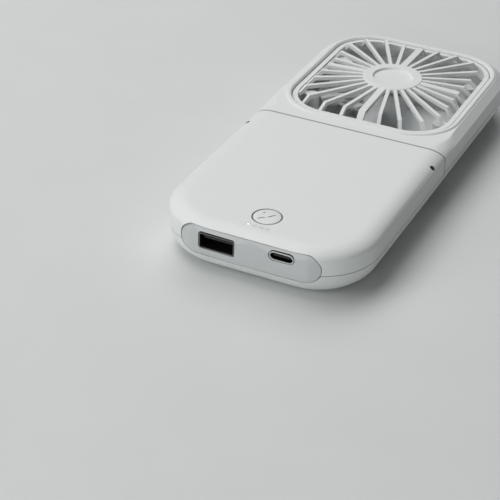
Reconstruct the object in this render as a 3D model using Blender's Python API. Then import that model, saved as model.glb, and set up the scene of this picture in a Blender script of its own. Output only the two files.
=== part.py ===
"""Folding pocket fan with a power bank, unfolded and lying on its back.

The base holds the battery, the ports and the button. The head holds the fan. A hinge at the rear edge
joins them. X is across, Y runs from the port end to the fan, Z is up through the button. The origin is
on the underside, in the middle of the whole, which is also the line where base and head meet.
"""

import math

import bmesh
import bpy
from mathutils import Vector

MM = 0.001
QUARTER = math.pi / 2

# Whole object
HALF_WIDTH = 38.5 * MM
BASE_LENGTH = 87.0 * MM
HEAD_LENGTH = 87.0 * MM
THICKNESS = 19.0 * MM
CORNER_RADIUS = 22.5 * MM
WALL = 1.8 * MM
FIT_GAP = 0.3 * MM
OVERRUN = 2.0 * MM
ARC_STEPS = 8
SMALL_ARC_STEPS = 3
EDGE_STEPS = 5
ROUND_STEPS = 24

# Edges of the housings: a flat oval shoulder in front, a deep round edge behind
SHOULDER_IN = 7.0 * MM
SHOULDER_DROP = 3.3 * MM
REAR_EDGE_IN = 11.5 * MM
REAR_EDGE_HEIGHT = 10.1 * MM
FRONT_RIM_Z = REAR_EDGE_HEIGHT + FIT_GAP

# Hinge: its barrel lies behind the front shells, at the rear face
BARREL_RADIUS = 4.6 * MM
HINGE_RELIEF = 0.7 * MM
HINGE_Z = BARREL_RADIUS + FIT_GAP
HINGE_REACH = HINGE_Z + HINGE_RELIEF
HINGE_LEDGE = 6.8 * MM
HEAD_KNUCKLE_HALF = 18.0 * MM
KNUCKLE_MARGIN = 0.5 * MM
KNUCKLE_REACH = HALF_WIDTH - REAR_EDGE_IN - KNUCKLE_MARGIN
WASHER_THICKNESS = 0.6 * MM
WASHER_RADIUS = 4.0 * MM
PIN_RADIUS = 1.5 * MM

# Port end
PLATE_SIDE_MARGIN = 12.5 * MM
PLATE_WIDTH = 2 * (HALF_WIDTH - PLATE_SIDE_MARGIN)
PLATE_GAP = 0.2 * MM
PLATE_HEIGHT = 10.3 * MM
PLATE_Z = 12.25 * MM
PLATE_THICKNESS = 1.6 * MM
PLATE_TIP_SHARE = 0.12
PLATE_WINDOW_DEPTH = 6.3 * MM
PORT_SET_BACK = 0.35 * MM
USB_A_X = -11.6 * MM
USB_A_Z = 12.9 * MM
USB_A_WIDTH = 13.15 * MM
USB_A_HEIGHT = 5.8 * MM
USB_A_DEPTH = 14.0 * MM
USB_A_CORNER = 0.6 * MM
USB_A_SHEET = 0.32 * MM
USB_A_TONGUE_WIDTH = 11.1 * MM
USB_A_TONGUE_THICKNESS = 1.84 * MM
USB_A_TONGUE_START = 2.0 * MM
USB_A_BLOCK_DEPTH = 3.5 * MM
USB_C_X = 12.4 * MM
USB_C_Z = 14.7 * MM
USB_C_WIDTH = 9.0 * MM
USB_C_HEIGHT = 3.2 * MM
USB_C_DEPTH = 7.4 * MM
USB_C_SHEET = 0.32 * MM
USB_C_TONGUE_WIDTH = 6.7 * MM
USB_C_TONGUE_THICKNESS = 0.7 * MM
USB_C_TONGUE_START = 0.9 * MM
USB_C_BLOCK_DEPTH = 1.5 * MM

# Circuit board behind the ports
BOARD_THICKNESS = 1.0 * MM
BOARD_TOP_Z = 14.6 * MM
BOARD_SIDE_MARGIN = 16.5 * MM
BOARD_HALF_WIDTH = HALF_WIDTH - BOARD_SIDE_MARGIN
BOARD_FROM_END = 3.5 * MM
BOARD_LENGTH = 23.0 * MM
BOARD_POST_RADIUS = 1.6 * MM
BOARD_POST_INSET = 2.4 * MM

# Button, switch and charge lights
BUTTON_FROM_END = 15.5 * MM
BUTTON_RADIUS = 5.1 * MM
BUTTON_CROWN = 0.35 * MM
BUTTON_TRAVEL = 0.5 * MM
BUTTON_FLANGE = 0.7 * MM
BUTTON_FLANGE_THICKNESS = 0.4 * MM
BUTTON_HOLLOW_RADIUS = 4.1 * MM
BUTTON_ROOF = 1.4 * MM
SWITCH_HALF = 2.6 * MM
SWITCH_HEIGHT = 1.2 * MM
SWITCH_WELL = 0.9 * MM
PLUNGER_RADIUS = 1.2 * MM
LIGHT_COUNT = 4
LIGHT_PITCH = 2.4 * MM
LIGHT_FROM_END = 8.2 * MM
LIGHT_RADIUS = 0.6 * MM
LIGHT_CHIP_HALF = 0.6 * MM
LIGHT_CHIP_HEIGHT = 0.6 * MM
LIGHT_BAR_HALF_DEPTH = 1.1 * MM
LIGHT_BAR_THICKNESS = 0.8 * MM

# Battery
BATTERY_SIDE_MARGIN = 18.5 * MM
BATTERY_HALF_WIDTH = HALF_WIDTH - BATTERY_SIDE_MARGIN
BATTERY_PORT_MARGIN = 12.0 * MM
BATTERY_HEIGHT = 9.0 * MM
BATTERY_CORNER = 2.5 * MM
BATTERY_HINGE_MARGIN = 3.0 * MM

# Cord hole through each shoulder of the base
CORD_HOLE_RADIUS = 0.9 * MM
CORD_HOLE_SIDE_MARGIN = 1.3 * MM
CORD_HOLE_X = HALF_WIDTH - CORD_HOLE_SIDE_MARGIN
CORD_HOLE_FROM_SEAM = 10.5 * MM
CORD_HOLE_Z = 17.6 * MM
CORD_HOLE_DEPTH = 4.0 * MM
CORD_HOLE_TURN = math.radians(45)

# Case screws, driven from behind
SCREW_RADIUS = 1.0 * MM
SCREW_HEAD_RADIUS = 1.9 * MM
SCREW_HEAD_HEIGHT = 1.4 * MM
SCREW_LENGTH = 9.0 * MM
SCREW_SINK = 1.2 * MM
BOSS_WALL = 1.3 * MM
BASE_SCREW_SIDE_MARGIN = 12.0 * MM
BASE_SCREW_X = HALF_WIDTH - BASE_SCREW_SIDE_MARGIN
BASE_SCREW_FROM_END = 22.0 * MM
BASE_SCREW_FROM_HINGE = 10.5 * MM

# Fan head: a raised bead round the grille, with a sloped band outside it
BEAD_MARGIN = 3.3 * MM
BEAD_ROOT_MARGIN = 5.3 * MM
BEAD_HALF_X = HALF_WIDTH - BEAD_MARGIN
BEAD_HALF_Y = (HEAD_LENGTH - BEAD_MARGIN - BEAD_ROOT_MARGIN) / 2
FAN_Y = BEAD_HALF_Y + BEAD_ROOT_MARGIN
BEAD_LAND = 0.2 * MM
CHAMFER_IN = BEAD_MARGIN - BEAD_LAND
CHAMFER_DROP = 2.2 * MM
ROOT_STRIP = 3.0 * MM
ROOT_BLEND = 11.0 * MM
BEAD_CORNER = 19.0 * MM
BEAD_WIDTH = 2.2 * MM
BEAD_HEIGHT = 0.5 * MM
GRILLE_SEAT_DEPTH = 2.8 * MM
GRILLE_SEAT_WIDTH = 1.2 * MM
GRILLE_RIM_WIDTH = 2.1 * MM
GRILLE_RIM_DROP = 0.3 * MM
FRAME_DEPTH = 4.2 * MM
GRILLE_RISE = 3.0 * MM
RIB_COUNT = 28
RIB_WIDTH = 1.4 * MM
WIDE_RIB_WIDTH = 2.7 * MM
WIDE_RIB_EVERY = 7
RIB_THICKNESS = 1.4 * MM
RIB_KINK_IN = 3.0 * MM
RIB_KINK_DROP = 0.8 * MM
RIB_ROOT_OVERLAP = 1.0 * MM
RIB_ROOT_DROP = 0.2 * MM
RIB_FOOT_DROP = 0.9 * MM
GROOVE_CHAMFER = 0.4 * MM
GRILLE_HUB_RADIUS = 11.8 * MM
GRILLE_HUB_THICKNESS = 2.0 * MM
GRILLE_DISH_RADIUS = 8.0 * MM
GRILLE_DISH_DEPTH = 0.8 * MM

# Rear of the head: air slots, duct and motor seat
DUCT_MARGIN = 5.8 * MM
DUCT_RADIUS = BEAD_HALF_X - DUCT_MARGIN
DUCT_WALL = 1.2 * MM
SLOT_INNER_RADIUS = 11.5 * MM
SLOT_MARGIN = 4.9 * MM
SLOT_OUTER_RADIUS = DUCT_RADIUS - SLOT_MARGIN
SLOT_RING_WIDTH = 1.8 * MM
SLOT_BAR_WIDTH = 1.8 * MM
SLOT_COUNT = 14
HEAD_SCREW_MARGIN = 8.7 * MM
HEAD_SCREW_X = BEAD_HALF_X - HEAD_SCREW_MARGIN
HEAD_SCREW_FROM_FAN = 17.7 * MM

# Motor and impeller
MOTOR_RADIUS = 8.0 * MM
MOTOR_CAN_HEIGHT = 7.0 * MM
MOTOR_CAP_HEIGHT = 1.5 * MM
MOTOR_CUP_HEIGHT = 5.0 * MM
MOTOR_BUSH_RADIUS = 2.4 * MM
MOTOR_BUSH_HEIGHT = 0.9 * MM
SHAFT_RADIUS = 0.75 * MM
SHAFT_GAP = 0.15 * MM
SHAFT_DEPTH = 5.0 * MM
IMPELLER_TIP_GAP = 1.4 * MM
IMPELLER_HUB_RADIUS = 11.0 * MM
IMPELLER_HUB_WALL = 1.4 * MM
IMPELLER_BOSS_RADIUS = 2.2 * MM
IMPELLER_TOP_GAP = 1.5 * MM
BLADE_COUNT = 5
BLADE_STATIONS = 5
BLADE_CHORD_POINTS = 5
BLADE_THICKNESS = 1.2 * MM
BLADE_HEIGHT = 7.6 * MM
BLADE_FLOOR_GAP = 2.6 * MM
BLADE_CAMBER = 1.4 * MM
BLADE_ROOT_TURN = math.radians(44)
BLADE_TIP_TURN = math.radians(40)
BLADE_REST_TURN = math.radians(12)
BLADE_SWEEP = math.radians(16)

BASE_SEAM_Y = -FIT_GAP / 2
HEAD_SEAM_Y = FIT_GAP / 2
BUTTON_Y = BUTTON_FROM_END - BASE_LENGTH
LIGHT_Y = LIGHT_FROM_END - BASE_LENGTH
INNER_TOP_Z = THICKNESS - WALL
PORT_Y = PORT_SET_BACK - BASE_LENGTH
BOARD_Y = BOARD_FROM_END - BASE_LENGTH


def clear_scene():
    for thing in list(bpy.data.objects):
        bpy.data.objects.remove(thing, do_unlink=True)


def material(name, colour, roughness, metallic=0.0):
    finish = bpy.data.materials.new(name)
    finish.use_nodes = True
    shader = finish.node_tree.nodes["Principled BSDF"]
    shader.inputs["Base Color"].default_value = (*colour, 1.0)
    shader.inputs["Roughness"].default_value = roughness
    shader.inputs["Metallic"].default_value = metallic
    finish.diffuse_color = (*colour, 1.0)
    return finish


def empty_at(name, place, parent=None):
    holder = bpy.data.objects.new(name, None)
    bpy.context.collection.objects.link(holder)
    put(holder, place, parent)
    return holder


def put(thing, place, parent=None):
    """Sets a thing's place in the whole object's frame, under an empty that isn't turned."""
    offset = Vector(place)
    thing.parent = parent
    while parent is not None:
        offset -= parent.location
        parent = parent.parent
    thing.location = offset


def solid(name, mesh_data, finish, place=(0, 0, 0), parent=None):
    bmesh.ops.recalc_face_normals(mesh_data, faces=mesh_data.faces)
    mesh = bpy.data.meshes.new(name)
    mesh_data.to_mesh(mesh)
    mesh_data.free()
    mesh.shade_smooth()
    mesh.set_sharp_from_angle(angle=math.radians(35))
    thing = bpy.data.objects.new(name, mesh)
    bpy.context.collection.objects.link(thing)
    if finish is not None:
        mesh.materials.append(finish)
    put(thing, place, parent)
    return thing


def tool(name, mesh_data, place=(0, 0, 0), parent=None):
    """A shape that only cuts, trims or joins another and isn't a piece by itself."""
    helper = solid(name, mesh_data, None, place, parent)
    helper.hide_render = True
    helper.display_type = "WIRE"
    return helper


def combine(thing, helper, operation):
    step = thing.modifiers.new(f"{operation.lower()} {helper.name}", "BOOLEAN")
    step.operation = operation
    step.solver = "EXACT"
    step.object = helper


def cut(thing, *helpers):
    for helper in helpers:
        combine(thing, helper, "DIFFERENCE")


def fuse(thing, *helpers):
    for helper in helpers:
        combine(thing, helper, "UNION")


def corner_points(centre, radii, first_turn, square, steps):
    """A quarter round, or the square corner round it with as many points."""
    points = []
    for step in range(steps + 1):
        angle = first_turn + QUARTER * step / steps
        across, along = math.cos(angle), math.sin(angle)
        reach = 1 / max(abs(across), abs(along)) if square else 1
        points.append((centre[0] + radii[0] * across * reach, centre[1] + radii[1] * along * reach))
    return points


def outline(half_x, y_low, y_high, radii, square_low=False, square_high=False, steps=ARC_STEPS):
    """A rectangle with round corners, of which those at one end may be square."""
    inner_x = half_x - radii[0]
    low, high = y_low + radii[1], y_high - radii[1]
    return (
        corner_points((inner_x, low), radii, -QUARTER, square_low, steps)
        + corner_points((inner_x, high), radii, 0, square_high, steps)
        + corner_points((-inner_x, high), radii, QUARTER, square_high, steps)
        + corner_points((-inner_x, low), radii, 2 * QUARTER, square_low, steps)
    )


def ring(points, z):
    return [(x, y, z) for x, y in points]


def base_ring(inset_x, inset_y, z, y_high=BASE_SEAM_Y):
    radii = (CORNER_RADIUS - inset_x, CORNER_RADIUS - inset_y)
    return ring(outline(HALF_WIDTH - inset_x, inset_y - BASE_LENGTH, y_high, radii, square_high=True), z)


def head_ring(inset_x, inset_y, z, y_low=HEAD_SEAM_Y):
    radii = (CORNER_RADIUS - inset_x, CORNER_RADIUS - inset_y)
    return ring(outline(HALF_WIDTH - inset_x, y_low, HEAD_LENGTH - inset_y, radii, square_low=True), z)


def opening_ring(inset, z):
    """A ring that follows the bead round the grille, set in from the bead's outer edge."""
    low, high = FAN_Y - BEAD_HALF_Y + inset, FAN_Y + BEAD_HALF_Y - inset
    return ring(outline(BEAD_HALF_X - inset, low, high, (BEAD_CORNER - inset,) * 2), z)


def rear_edge(steps):
    """(inset, height) pairs up the round rear edge, from the flat underside."""
    turns = [QUARTER * step / steps for step in range(steps + 1)]
    return [(REAR_EDGE_IN * (1 - math.sin(t)), REAR_EDGE_HEIGHT * (1 - math.cos(t))) for t in turns]


def shoulder(steps):
    """(share of the inset, height) pairs up the front shoulder."""
    turns = [QUARTER * step / steps for step in range(steps + 1)]
    return [(1 - math.cos(t), THICKNESS - SHOULDER_DROP * (1 - math.sin(t))) for t in turns]


def loft(rings, closed=False):
    """Joins rings of as many points each. Open ends get flat caps; a closed loft joins last to first."""
    shape = bmesh.new()
    rows = [[shape.verts.new(point) for point in points] for points in rings]
    count = len(rows[0])
    pairs = list(zip(rows, rows[1:]))
    if closed:
        pairs.append((rows[-1], rows[0]))
    for lower, upper in pairs:
        for i in range(count):
            j = (i + 1) % count
            shape.faces.new((lower[i], lower[j], upper[j], upper[i]))
    if not closed:
        shape.faces.new(rows[0])
        shape.faces.new(rows[-1])
    return shape


def prism(points, start, end, along="Z"):
    """An outline carried straight along one axis. Along Y it lies in X and Z, along X in Y and Z."""
    order = {"Z": (0, 1, 2), "Y": (0, 2, 1), "X": (2, 0, 1)}[along]
    rings = []
    for level in (start, end):
        rings.append([tuple((u, v, level)[axis] for axis in order) for u, v in points])
    return loft(rings)


def circle(radius, steps=ROUND_STEPS, centre=(0, 0)):
    turns = [math.tau * step / steps for step in range(steps)]
    return [(centre[0] + radius * math.cos(t), centre[1] + radius * math.sin(t)) for t in turns]


def rod(radius, start, end, along="Z", steps=ROUND_STEPS, centre=(0, 0)):
    return prism(circle(radius, steps, centre), start, end, along)


def box(low, high):
    points = [(low[0], low[1]), (high[0], low[1]), (high[0], high[1]), (low[0], high[1])]
    return prism(points, low[2], high[2])


def turned(profile, steps=ROUND_STEPS):
    """A closed outline of (radius, height) turned about Z. It doesn't reach the axis."""
    rings = []
    for radius, height in profile:
        rings.append([(x, y, height) for x, y in circle(radius, steps)])
    return loft(rings, closed=True)


def tapered(profile, steps=ROUND_STEPS):
    """Circles of (radius, height) joined and capped at both ends."""
    return loft([ring(circle(radius, steps), height) for radius, height in profile])


def stacked(outlines_and_levels, along="Z"):
    """Tubes and steps: outlines at given levels along an axis, joined into one closed loft."""
    order = {"Z": (0, 1, 2), "Y": (0, 2, 1)}[along]
    rings = []
    for points, level in outlines_and_levels:
        rings.append([tuple((u, v, level)[axis] for axis in order) for u, v in points])
    return loft(rings, closed=True)


def slab_outline(width, height, corner, centre, steps=SMALL_ARC_STEPS):
    """A small rectangle with round corners, centred on a point of the port end."""
    points = outline(width / 2, -height / 2, height / 2, (corner, corner), steps=steps)
    return [(x + centre[0], z + centre[1]) for x, z in points]


def knuckle_outline(direction):
    """The barrel with the web that ties it to its shell, in Y and Z. Direction is -1 for the base."""
    points = []
    for step in range(3 * ROUND_STEPS // 4 + 1):
        angle = math.pi - math.tau * step / ROUND_STEPS
        points.append((-direction * BARREL_RADIUS * math.cos(angle), HINGE_Z + BARREL_RADIUS * math.sin(angle)))
    root = direction * (HINGE_REACH + WALL / 2)
    points.append((root, HINGE_Z - BARREL_RADIUS))
    points.append((root, HINGE_Z))
    return points


def screw_boss(name, place, parent, low, high):
    return tool(name, rod(SCREW_RADIUS + FIT_GAP + BOSS_WALL, low, high), place, parent)


def screw_hole(name, place, parent):
    """Cuts the sunk head's seat and the shank's way through the rear boss."""
    shank = SCREW_RADIUS + FIT_GAP
    seat_top = SCREW_SINK + SCREW_HEAD_HEIGHT + FIT_GAP
    seat = SCREW_HEAD_RADIUS + FIT_GAP
    levels = [(seat, -OVERRUN), (seat, seat_top), (shank, seat_top), (shank, screw_tip_z() + FIT_GAP)]
    return tool(name, tapered(levels), place, parent)


def screw_tip_z():
    return SCREW_SINK + SCREW_HEAD_HEIGHT + SCREW_LENGTH


def case_screw(name, place, parent, finish):
    collar = SCREW_SINK + SCREW_HEAD_HEIGHT
    levels = [
        (SCREW_HEAD_RADIUS, SCREW_SINK),
        (SCREW_HEAD_RADIUS, collar),
        (SCREW_RADIUS, collar),
        (SCREW_RADIUS, screw_tip_z()),
    ]
    return solid(name, tapered(levels, ROUND_STEPS // 2), finish, place, parent)


def shell_bosses(prefix, front_shell, rear_shell, places, boss_top, parent, finish):
    """Adds a pair of bosses and a screw at each place, front and rear."""
    for number, (x, y) in enumerate(places, 1):
        place = (x, y, 0)
        front = screw_boss(f"{prefix} front boss {number}", place, parent, FRONT_RIM_Z, boss_top)
        rear = screw_boss(f"{prefix} rear boss {number}", place, parent, WALL / 2, REAR_EDGE_HEIGHT)
        hole = screw_hole(f"{prefix} screw hole {number}", place, parent)
        fuse(front_shell, front)
        fuse(rear_shell, rear)
        cut(front_shell, hole)
        cut(rear_shell, hole)
        case_screw(f"{prefix}_screw_{number}", place, parent, finish)


def base_front_shell(finish):
    """The deep half of the base: shoulders, top, and a ledge over the hinge barrel."""
    rings = [base_ring(share * SHOULDER_IN, share * SHOULDER_IN, z) for share, z in shoulder(EDGE_STEPS)]
    rings.reverse()
    rings.append(base_ring(0, 0, FRONT_RIM_Z))
    inner_seam = BASE_SEAM_Y - WALL
    rings.append(base_ring(WALL, WALL, FRONT_RIM_Z, inner_seam))
    rings.append(base_ring(WALL, WALL, THICKNESS - SHOULDER_DROP - WALL, inner_seam))
    rings.append(base_ring(SHOULDER_IN, SHOULDER_IN, INNER_TOP_Z, inner_seam))
    shell = solid("base_front_shell", loft(rings), finish)
    fuse(shell, hinge_ledge("base hinge ledge", -HINGE_LEDGE, BASE_SEAM_Y - WALL / 2))
    return shell


def hinge_ledge(name, y_low, y_high):
    """A shelf behind the seam wall that closes the slot over the hinge barrel."""
    reach = HALF_WIDTH - WALL / 2
    return tool(name, box((-reach, y_low, FRONT_RIM_Z), (reach, y_high, FRONT_RIM_Z + WALL)))


def hinge_recess(name, y_low, y_high):
    """The space beside the barrel, and the relief below the hinge line out to both sides."""
    side = HALF_WIDTH + OVERRUN
    middle = KNUCKLE_REACH + FIT_GAP
    points = [(-side, -OVERRUN), (side, -OVERRUN), (side, HINGE_Z), (middle, HINGE_Z)]
    points += [(middle, THICKNESS), (-middle, THICKNESS), (-middle, HINGE_Z), (-side, HINGE_Z)]
    return tool(name, prism(points, y_low, y_high, "Y"))


def base_rear_shell(finish):
    """The shallow half of the base, a dish with a deep round edge and the two outer hinge knuckles."""
    rings = [base_ring(inset, inset, z) for inset, z in rear_edge(EDGE_STEPS)]
    inner = []
    for inset, z in rear_edge(EDGE_STEPS):
        height = WALL + z * (REAR_EDGE_HEIGHT - WALL) / REAR_EDGE_HEIGHT
        inner.append(base_ring(inset + WALL, inset + WALL, height, -HINGE_REACH - WALL))
    shell = solid("base_rear_shell", loft(rings + inner[::-1]), finish)
    cut(shell, hinge_recess("base hinge recess", -HINGE_REACH, OVERRUN))
    start = HEAD_KNUCKLE_HALF + WASHER_THICKNESS + 2 * FIT_GAP
    for side, word in ((-1, "left"), (1, "right")):
        lump = prism(knuckle_outline(-1), side * start, side * KNUCKLE_REACH, "X")
        fuse(shell, tool(f"base knuckle {word}", lump))
    return shell


def pin_bore(name, half_length):
    return tool(name, rod(PIN_RADIUS + FIT_GAP, -half_length, half_length, "X", centre=(0, HINGE_Z)))


def port_window():
    """The opening for the port plate, through the end walls of both shells."""
    width, height = PLATE_WIDTH + 2 * PLATE_GAP, PLATE_HEIGHT + 2 * PLATE_GAP
    points = slab_outline(width, height, height / 2, (0, PLATE_Z), ARC_STEPS)
    deep = PLATE_WINDOW_DEPTH - BASE_LENGTH
    return tool("port window", prism(points, -BASE_LENGTH - OVERRUN, deep, "Y"))


def edge_inset(z):
    """How far the outer form lies inside its full outline, at a height."""
    if z < REAR_EDGE_HEIGHT:
        level = 1 - z / REAR_EDGE_HEIGHT
        return REAR_EDGE_IN * (1 - math.sqrt(1 - level * level))
    level = max(0, z - THICKNESS + SHOULDER_DROP) / SHOULDER_DROP
    return SHOULDER_IN * (1 - math.sqrt(1 - level * level))


def port_end_y(x, inset):
    """The port end's surface at a distance from the middle, set in by some amount."""
    across = max(0, abs(x) - HALF_WIDTH + CORNER_RADIUS)
    radius = CORNER_RADIUS - inset
    return CORNER_RADIUS - BASE_LENGTH - math.sqrt(radius * radius - across * across)


def port_plate(finish):
    """A stadium inlay that follows the curved end, flush with it."""
    half, straight = PLATE_HEIGHT / 2, (PLATE_WIDTH - PLATE_HEIGHT) / 2
    turns = [QUARTER * step / EDGE_STEPS for step in range(EDGE_STEPS)]
    tips = [(straight + half * math.sin(t), half * math.cos(t)) for t in turns]
    tips.append((straight + half, half * PLATE_TIP_SHARE))
    stations = [(-x, height) for x, height in reversed(tips)]
    stations.append((0, half))
    stations += tips
    rings = []
    for x, height in stations:
        front, back = [], []
        for step in range(EDGE_STEPS + 1):
            z = PLATE_Z + height * (2 * step / EDGE_STEPS - 1)
            inset = edge_inset(z)
            front.append((x, port_end_y(x, inset), z))
            back.append((x, port_end_y(x, inset + PLATE_THICKNESS), z))
        rings.append(front + back[::-1])
    plate = solid("port_plate", loft(rings), finish)
    for name, width, height, corner, centre in (
        ("usb a window", USB_A_WIDTH, USB_A_HEIGHT, USB_A_CORNER, (USB_A_X, USB_A_Z)),
        ("usb c window", USB_C_WIDTH, USB_C_HEIGHT, USB_C_HEIGHT / 2, (USB_C_X, USB_C_Z)),
    ):
        window = slab_outline(width + 2 * FIT_GAP, height + 2 * FIT_GAP, corner + FIT_GAP, centre)
        cut(plate, tool(name, prism(window, PORT_Y - OVERRUN, PORT_Y + PLATE_THICKNESS + OVERRUN, "Y")))


def socket(name, width, height, corner, sheet, depth, centre, finish):
    """A folded sheet-metal port shell: a tube open at both ends."""
    outer = slab_outline(width, height, corner, centre)
    inner = slab_outline(width - 2 * sheet, height - 2 * sheet, corner - sheet / 2, centre)
    end = PORT_Y + depth
    return solid(name, stacked([(outer, PORT_Y), (outer, end), (inner, end), (inner, PORT_Y)], "Y"), finish)


def usb_a_socket(steel, black):
    centre = (USB_A_X, USB_A_Z)
    socket("usb_a_shell", USB_A_WIDTH, USB_A_HEIGHT, USB_A_CORNER, USB_A_SHEET, USB_A_DEPTH, centre, steel)
    inner_width = USB_A_WIDTH - 2 * USB_A_SHEET - 2 * FIT_GAP
    inner_height = USB_A_HEIGHT - 2 * USB_A_SHEET - 2 * FIT_GAP
    back = PORT_Y + USB_A_DEPTH
    front = back - USB_A_BLOCK_DEPTH
    top = USB_A_Z + inner_height / 2
    low = (USB_A_X - inner_width / 2, front, USB_A_Z - inner_height / 2)
    block = solid("usb_a_tongue", box(low, (USB_A_X + inner_width / 2, back, top)), black)
    half = USB_A_TONGUE_WIDTH / 2
    tongue_low = (USB_A_X - half, PORT_Y + USB_A_TONGUE_START, top - FIT_GAP - USB_A_TONGUE_THICKNESS)
    tongue_high = (USB_A_X + half, front + USB_A_BLOCK_DEPTH / 2, top - FIT_GAP)
    fuse(block, tool("usb a tongue blade", box(tongue_low, tongue_high)))


def usb_c_socket(steel, black):
    centre = (USB_C_X, USB_C_Z)
    round_end = USB_C_HEIGHT / 2
    socket("usb_c_shell", USB_C_WIDTH, USB_C_HEIGHT, round_end, USB_C_SHEET, USB_C_DEPTH, centre, steel)
    width = USB_C_WIDTH - 2 * USB_C_SHEET - 2 * FIT_GAP
    height = USB_C_HEIGHT - 2 * USB_C_SHEET - 2 * FIT_GAP
    back = PORT_Y + USB_C_DEPTH
    front = back - USB_C_BLOCK_DEPTH
    points = slab_outline(width, height, height / 2 - FIT_GAP / 2, centre)
    block = solid("usb_c_tongue", prism(points, front, back, "Y"), black)
    half, thin = USB_C_TONGUE_WIDTH / 2, USB_C_TONGUE_THICKNESS / 2
    tongue_low = (USB_C_X - half, PORT_Y + USB_C_TONGUE_START, USB_C_Z - thin)
    tongue_high = (USB_C_X + half, front + USB_C_BLOCK_DEPTH / 2, USB_C_Z + thin)
    fuse(block, tool("usb c tongue blade", box(tongue_low, tongue_high)))


def cord_hole(name, side):
    """A drill square to the shoulder, from outside into the shell."""
    drill = rod(CORD_HOLE_RADIUS, -CORD_HOLE_DEPTH, OVERRUN, steps=ROUND_STEPS // 2)
    helper = tool(name, drill, (side * CORD_HOLE_X, -CORD_HOLE_FROM_SEAM, CORD_HOLE_Z))
    helper.rotation_euler.y = side * CORD_HOLE_TURN
    return helper


def board_post_places():
    y = BOARD_Y + BOARD_LENGTH - BOARD_POST_INSET
    x = BOARD_HALF_WIDTH - BOARD_POST_INSET
    return [(-x, y), (x, y)]


def circuit_board(green):
    """The board hangs from two posts, and both ports sit in notches of its front edge."""
    low = (-BOARD_HALF_WIDTH, BOARD_Y, BOARD_TOP_Z - BOARD_THICKNESS)
    high = (BOARD_HALF_WIDTH, BOARD_Y + BOARD_LENGTH, BOARD_TOP_Z)
    board = solid("circuit_board", box(low, high), green)
    for name, x, width, depth in (
        ("usb a notch", USB_A_X, USB_A_WIDTH, USB_A_DEPTH),
        ("usb c notch", USB_C_X, USB_C_WIDTH, USB_C_DEPTH),
    ):
        notch_low = (x - width / 2 - FIT_GAP, PORT_Y, BOARD_TOP_Z - OVERRUN)
        notch_high = (x + width / 2 + FIT_GAP, PORT_Y + depth + FIT_GAP, BOARD_TOP_Z + OVERRUN)
        cut(board, tool(name, box(notch_low, notch_high)))


def switch_and_button(steel, black, white, axis):
    """A small push switch on the board, and the cap that presses its plunger."""
    bottom = BOARD_TOP_Z + FIT_GAP
    top = bottom + SWITCH_HEIGHT
    low = (-SWITCH_HALF, BUTTON_Y - SWITCH_HALF, bottom)
    body = solid("push_switch", box(low, (SWITCH_HALF, BUTTON_Y + SWITCH_HALF, top)), steel)
    well_floor = top - SWITCH_WELL
    well = rod(PLUNGER_RADIUS + FIT_GAP, well_floor, top + OVERRUN)
    cut(body, tool("switch well", well, (0, BUTTON_Y, 0)))
    flange_top = INNER_TOP_Z - FIT_GAP - THICKNESS
    flange_low = flange_top - BUTTON_FLANGE_THICKNESS
    flange = BUTTON_RADIUS + BUTTON_FLANGE
    cap = [
        (BUTTON_HOLLOW_RADIUS, -BUTTON_ROOF),
        (BUTTON_HOLLOW_RADIUS, flange_low),
        (flange, flange_low),
        (flange, flange_top),
        (BUTTON_RADIUS, flange_top),
        (BUTTON_RADIUS, -BUTTON_CROWN / 2),
        (BUTTON_RADIUS - BUTTON_CROWN, 0),
        (BUTTON_RADIUS / 2, BUTTON_CROWN / 2),
    ]
    solid("button_cap", tapered(cap), white, (0, BUTTON_Y, THICKNESS), axis)
    plunger_low = well_floor + BUTTON_TRAVEL + FIT_GAP - THICKNESS
    plunger = rod(PLUNGER_RADIUS, plunger_low, -BUTTON_ROOF - FIT_GAP)
    solid("switch_plunger", plunger, black, (0, BUTTON_Y, THICKNESS), axis)


def light_places():
    first = -LIGHT_PITCH * (LIGHT_COUNT - 1) / 2
    return [first + LIGHT_PITCH * number for number in range(LIGHT_COUNT)]


def charge_lights(clear, yellow):
    """A clear bar under the top face with a stud in each hole, over a row of small lamps."""
    chip_top = BOARD_TOP_Z + FIT_GAP + LIGHT_CHIP_HEIGHT
    bar_low = chip_top + FIT_GAP
    half_length = LIGHT_PITCH * LIGHT_COUNT / 2
    low = (-half_length, LIGHT_Y - LIGHT_BAR_HALF_DEPTH, bar_low)
    high = (half_length, LIGHT_Y + LIGHT_BAR_HALF_DEPTH, bar_low + LIGHT_BAR_THICKNESS)
    guide = solid("light_guide", box(low, high), clear)
    for number, x in enumerate(light_places(), 1):
        stud = rod(LIGHT_RADIUS, bar_low + LIGHT_BAR_THICKNESS / 2, THICKNESS, steps=ROUND_STEPS // 2)
        fuse(guide, tool(f"light stud {number}", stud, (x, LIGHT_Y, 0)))
        chip_low = (-LIGHT_CHIP_HALF, -LIGHT_CHIP_HALF, BOARD_TOP_Z + FIT_GAP)
        chip = box(chip_low, (LIGHT_CHIP_HALF, LIGHT_CHIP_HALF, chip_top))
        solid(f"charge_lamp_{number}", chip, yellow, (x, LIGHT_Y, 0))


def battery(silver):
    """A flat pouch cell on the floor of the rear shell, with pillowed edges."""
    high_y = -HINGE_REACH - WALL - BATTERY_HINGE_MARGIN
    low_y = PORT_Y + USB_A_DEPTH + BATTERY_PORT_MARGIN
    floor = WALL + FIT_GAP
    edge = BATTERY_CORNER / 2
    rings = []
    for inset, z in (
        (edge, floor),
        (0, floor + edge),
        (0, floor + BATTERY_HEIGHT - edge),
        (edge, floor + BATTERY_HEIGHT),
    ):
        sides = (BATTERY_HALF_WIDTH - inset, low_y + inset, high_y - inset)
        points = outline(*sides, (BATTERY_CORNER,) * 2, steps=SMALL_ARC_STEPS)
        rings.append(ring(points, z))
    solid("battery_cell", loft(rings), silver)


def smooth_share(value):
    value = min(max(value, 0), 1)
    return value * value * (3 - 2 * value)


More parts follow.
